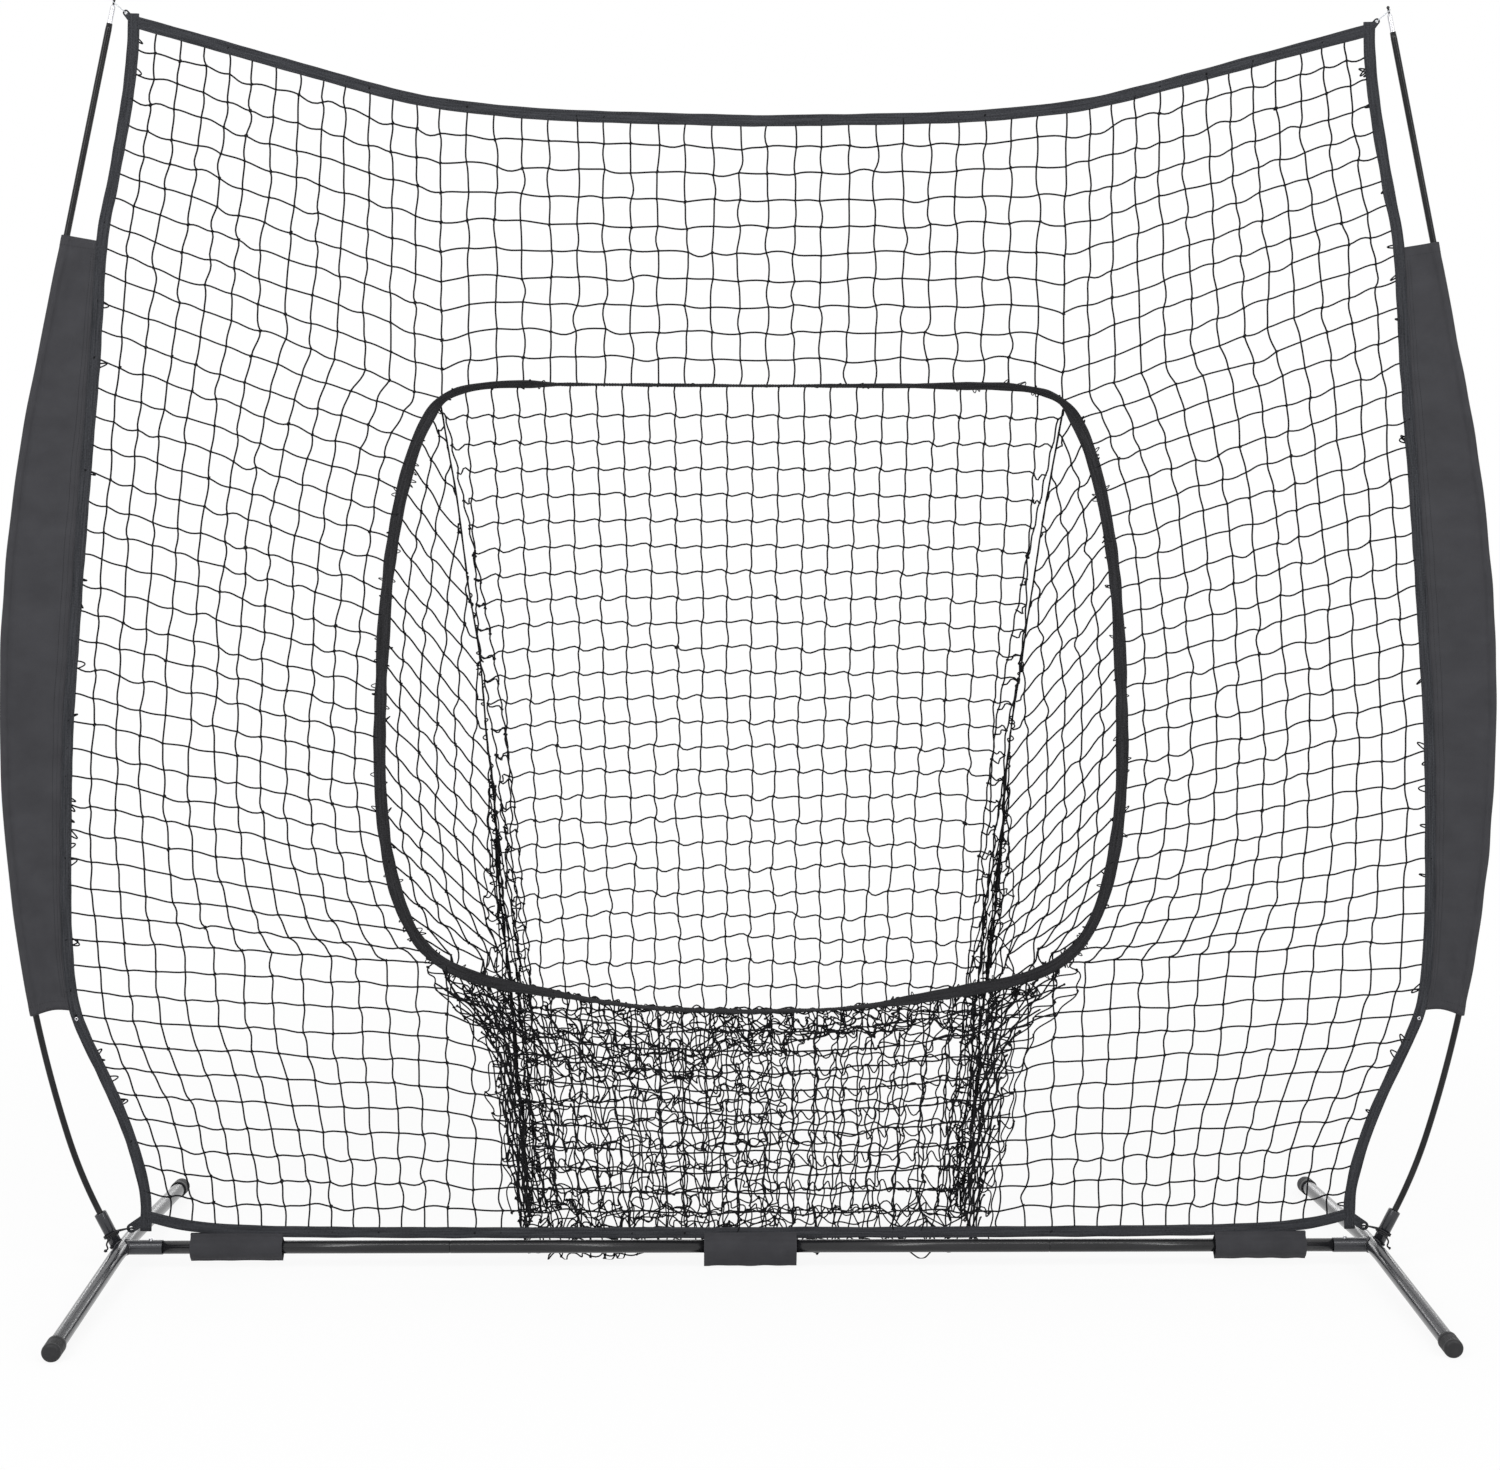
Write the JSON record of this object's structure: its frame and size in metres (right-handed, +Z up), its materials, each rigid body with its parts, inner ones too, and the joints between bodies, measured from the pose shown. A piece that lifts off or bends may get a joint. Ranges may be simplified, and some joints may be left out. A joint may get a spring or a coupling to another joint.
{
  "type": "pitching target net",
  "caption": "Knock-down steel base with bowed fibreglass poles holding a square-mesh net with a webbing-bound target opening and a hanging catch pocket behind it.",
  "frame": {"origin": "on the floor, at the middle of the whole object's footprint", "axes": "+X across the net to the right as the thrower sees it, -Y towards the thrower, +Z up"},
  "size_m": [2.4784, 0.949, 2.0897],
  "materials": {
    "leg_steel": "gloss",
    "tube_steel": "gloss",
    "foot_plastic": "satin",
    "spring_steel": "satin",
    "bright_metal": "gloss",
    "tie_cord": "matte",
    "pole_fibreglass": "gloss",
    "clear_elastic": "gloss",
    "sleeve_cloth": "matte",
    "webbing": "matte",
    "opening_webbing": "matte",
    "netting": "matte"
  },
  "bodies": {
    "base": {"left_leg_tube": "leg_steel", "right_leg_tube": "leg_steel", "left_front_foot_cap": "foot_plastic", "left_rear_foot_cap": "foot_plastic", "right_front_foot_cap": "foot_plastic", "right_rear_foot_cap": "foot_plastic", "left_stub": "leg_steel", "right_stub": "leg_steel", "left_pole_socket": "leg_steel", "right_pole_socket": "leg_steel", "left_outer_cross_tube": "tube_steel", "left_inner_cross_tube": "tube_steel", "right_inner_cross_tube": "tube_steel", "right_outer_cross_tube": "tube_steel", "left_button_spring": "spring_steel", "right_button_spring": "spring_steel", "left_corner_tie": "tie_cord", "right_corner_tie": "tie_cord"},
    "bow": {"left_lower_pole": "pole_fibreglass", "left_upper_pole": "pole_fibreglass", "right_lower_pole": "pole_fibreglass", "right_upper_pole": "pole_fibreglass", "left_pole_ferrule": "bright_metal", "right_pole_ferrule": "bright_metal", "left_pole_plug": "foot_plastic", "right_pole_plug": "foot_plastic", "left_tip_sleeve": "bright_metal", "right_tip_sleeve": "bright_metal", "left_tip_pin": "foot_plastic", "right_tip_pin": "foot_plastic", "left_tip_loop": "clear_elastic", "right_tip_loop": "clear_elastic", "left_sleeve": "sleeve_cloth", "right_sleeve": "sleeve_cloth", "top_binding": "webbing", "bottom_binding": "webbing", "left_binding": "webbing", "right_binding": "webbing", "opening_binding": "opening_webbing", "upper_net": "netting", "lower_net": "netting", "left_net": "netting", "right_net": "netting", "left_cuff": "sleeve_cloth", "middle_cuff": "sleeve_cloth", "right_cuff": "sleeve_cloth"},
    "pocket": {"pocket_back": "netting", "left_gusset": "netting", "right_gusset": "netting", "pocket_apron": "netting", "left_pocket_seam": "netting", "right_pocket_seam": "netting"},
    "left_button": {"left_snap_button": "bright_metal"},
    "right_button": {"right_snap_button": "bright_metal"}
  },
  "joints": [
    {"name": "bow_sway", "type": "hinge", "parent": "base", "child": "bow", "pos_m": [0, 0, 0.036], "axis": [1, 0, 0], "range_deg": [-2.5, 2.5], "stiffness_Nm_per_rad": 400, "springref_deg": 0.03},
    {"name": "pocket_swing", "type": "hinge", "parent": "bow", "child": "pocket", "pos_m": [0, 0.005, 1.476], "axis": [1, 0, 0], "range_deg": [0, 12]},
    {"name": "left_button_press", "type": "slide", "parent": "base", "child": "left_button", "axis": [0, 0, -1], "range_m": [0, 0.0052], "stiffness_N_per_m": 1000, "deforming": ["left_button_spring"]},
    {"name": "right_button_press", "type": "slide", "parent": "base", "child": "right_button", "axis": [0, 0, -1], "range_m": [0, 0.0052], "stiffness_N_per_m": 1000, "deforming": ["right_button_spring"]}
  ]
}
